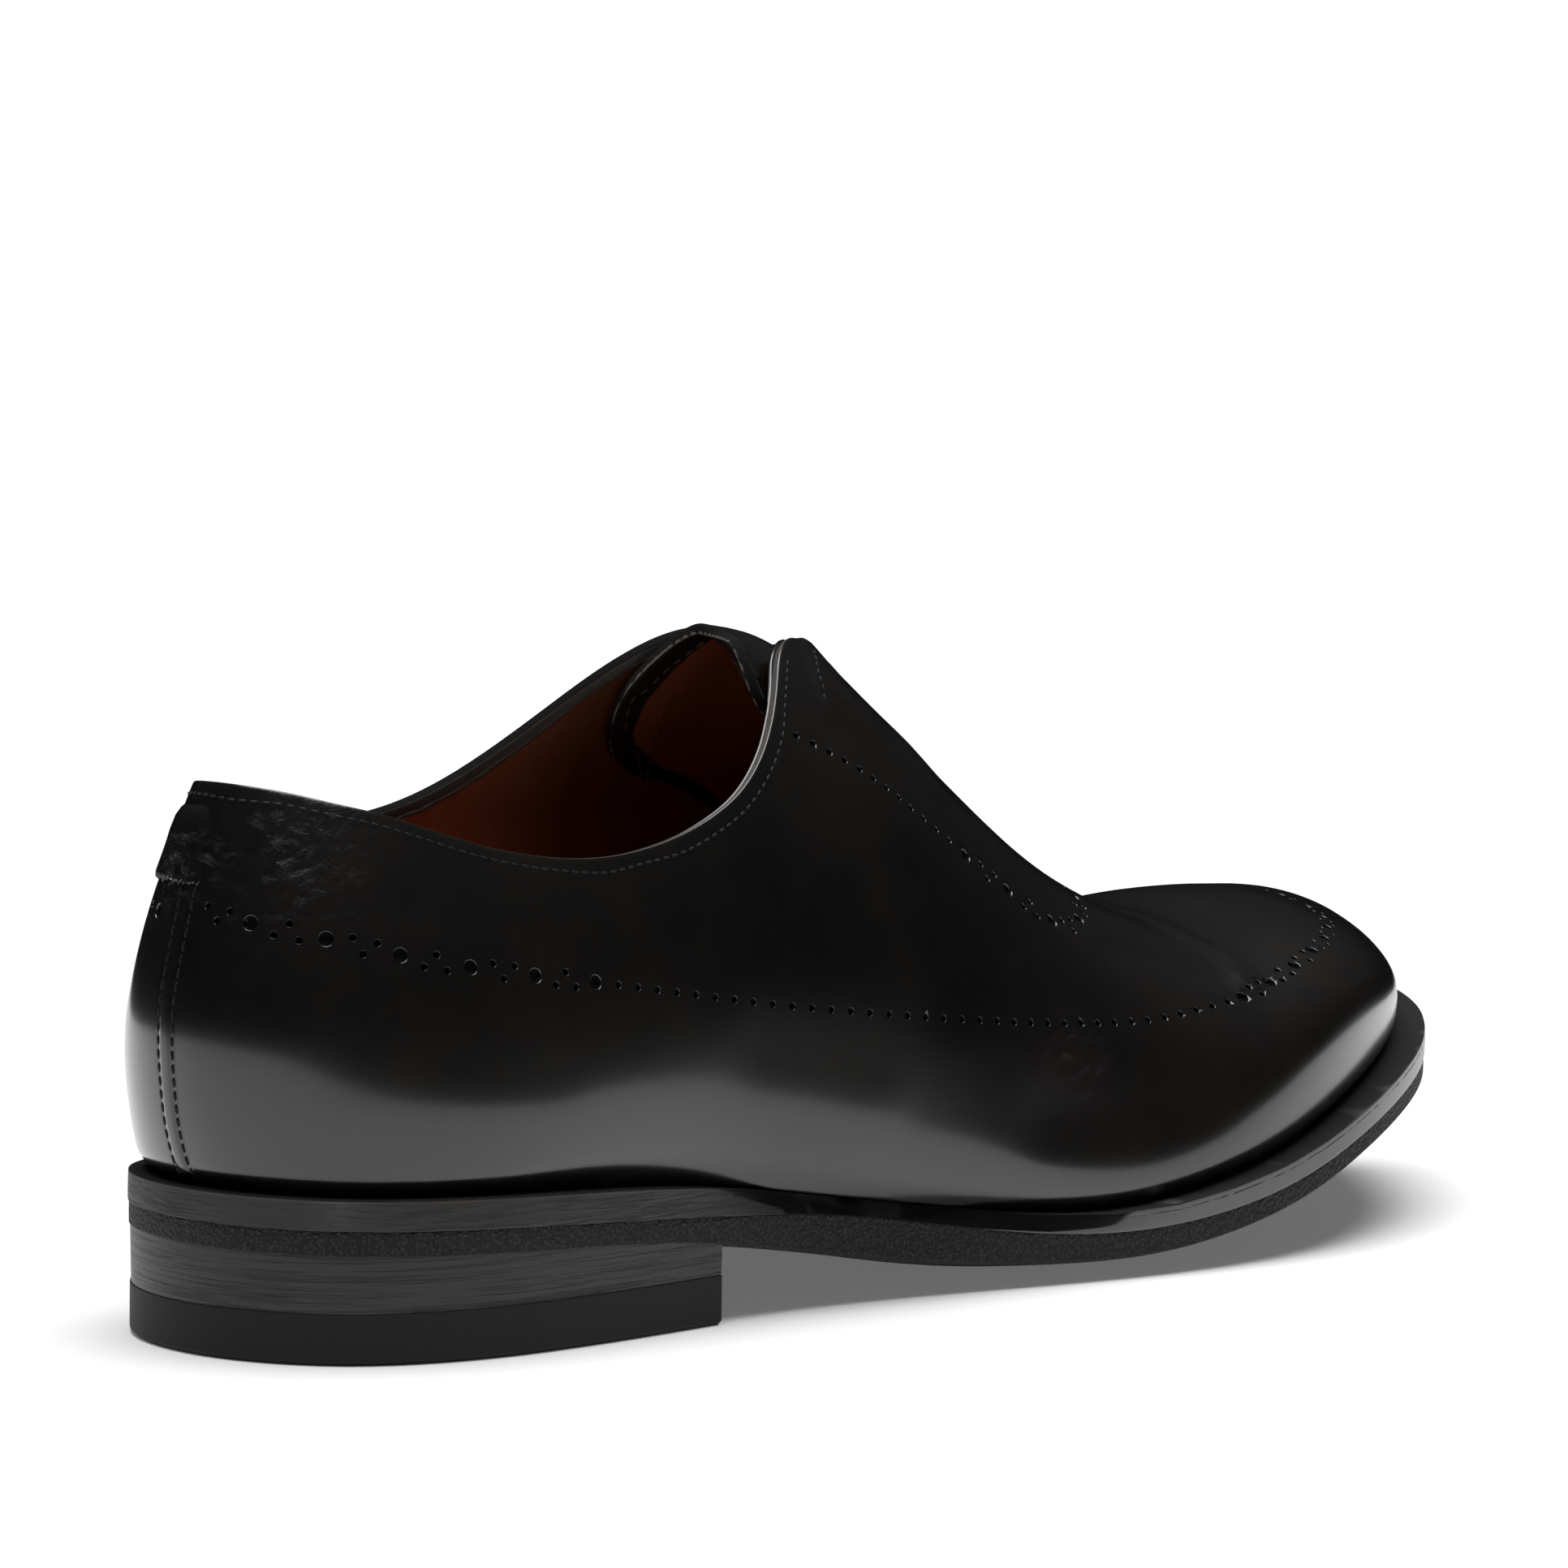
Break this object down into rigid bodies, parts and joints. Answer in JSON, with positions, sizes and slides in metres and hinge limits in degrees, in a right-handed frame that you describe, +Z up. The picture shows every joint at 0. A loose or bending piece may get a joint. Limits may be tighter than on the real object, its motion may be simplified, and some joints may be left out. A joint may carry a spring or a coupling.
{
  "type": "slip-on loafer",
  "caption": "Right-foot slip-on dress shoe: hollow leather upper with open collar and notched throat over a tongue, insole, welt, crumb-rubber sole with toe spring, stacked heel.",
  "frame": {"origin": "on the floor, under the middle of the shoe's bounding box", "axes": "+X from the heel to the toe along the shoe's length, +Y to the medial (inner) side, +Z up"},
  "size_m": [0.3012, 0.0982, 0.1079],
  "materials": {
    "calf": "polished black box calf",
    "tongue_leather": "black and brown lining leather",
    "insole_leather": "mahogany brown lining leather",
    "welt_leather": "dark edge-dyed sole leather",
    "crumb_rubber": "matt granular black rubber",
    "stack_leather": "burnished dark leather layers",
    "lift_rubber": "smooth matt black rubber"
  },
  "bodies": {
    "root": {"upper": "calf", "tongue": "tongue_leather", "insole": "insole_leather", "welt": "welt_leather", "outsole": "crumb_rubber", "heel_stack": "stack_leather", "top_lift": "lift_rubber"}
  },
  "joints": []
}
